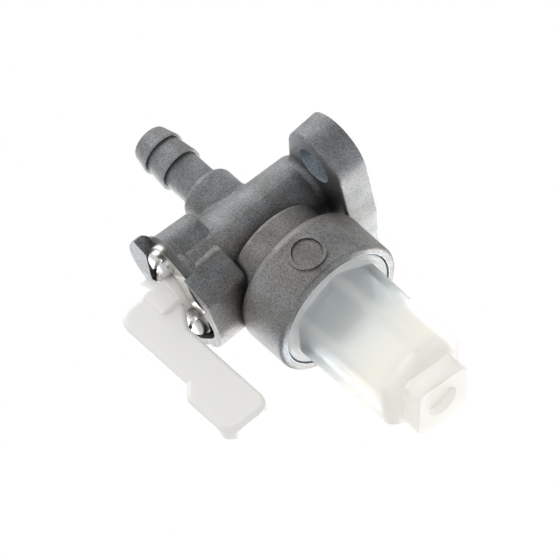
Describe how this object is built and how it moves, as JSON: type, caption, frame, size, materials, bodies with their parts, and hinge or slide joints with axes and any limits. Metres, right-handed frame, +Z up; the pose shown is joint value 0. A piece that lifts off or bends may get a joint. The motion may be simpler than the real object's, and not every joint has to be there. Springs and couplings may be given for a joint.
{
  "type": "fuel tap",
  "caption": "Fuel tap with a two-hole tank flange, a turning plastic lever held by a bowed plate, a hose barb on top and a screw-on filter bowl below.",
  "frame": {"origin": "centre of the flange's rear face, which seats on the tank, between its bolts", "axes": "-Y forwards from the tank to the lever, +Z up along the hose barb, the bowl hangs along -Z"},
  "size_m": [0.0346, 0.0457, 0.07],
  "materials": {
    "cast_alloy": "fine-blasted die casting, machined bright at the rims",
    "white_nylon": "soft satin moulding, slightly translucent",
    "clear_nylon": "milky translucent moulding",
    "plate_steel": "bright rolled sheet",
    "screw_zinc": "bright zinc plate",
    "seal_rubber": "matt moulded rubber",
    "filter_plastic": "natural moulded plastic",
    "filter_gauze": "fine woven gauze"
  },
  "bodies": {
    "tap": {"tap_body": "cast_alloy", "flange_seal": "seal_rubber", "valve_gasket": "seal_rubber", "cover_plate": "plate_steel", "spring_plate": "plate_steel", "plate_screws": "screw_zinc", "filter_cage": "filter_plastic", "filter_screen": "filter_gauze"},
    "lever": {"lever": "white_nylon", "lever_o_ring": "seal_rubber"},
    "bowl_seal": {"bowl_seal": "seal_rubber"},
    "bowl": {"bowl": "clear_nylon"}
  },
  "joints": [
    {"name": "lever_turn", "type": "hinge", "parent": "tap", "child": "lever", "pos_m": [0, -0.0365, 0.00345], "axis": [0, -1, 0], "range_deg": [0, 90]},
    {"name": "bowl_travel", "type": "slide", "parent": "tap", "child": "bowl_seal", "axis": [0, 0, -1], "range_m": [0, 0.00675]},
    {"name": "bowl_turn", "type": "hinge", "parent": "bowl_seal", "child": "bowl", "pos_m": [0, -0.0168, -0.01655], "axis": [0, 0, -1], "range_deg": [0, 1620]}
  ],
  "couplings": [
    {"joint": "bowl_travel", "follows": "bowl_turn", "m_per_rad": 0.00023873}
  ]
}
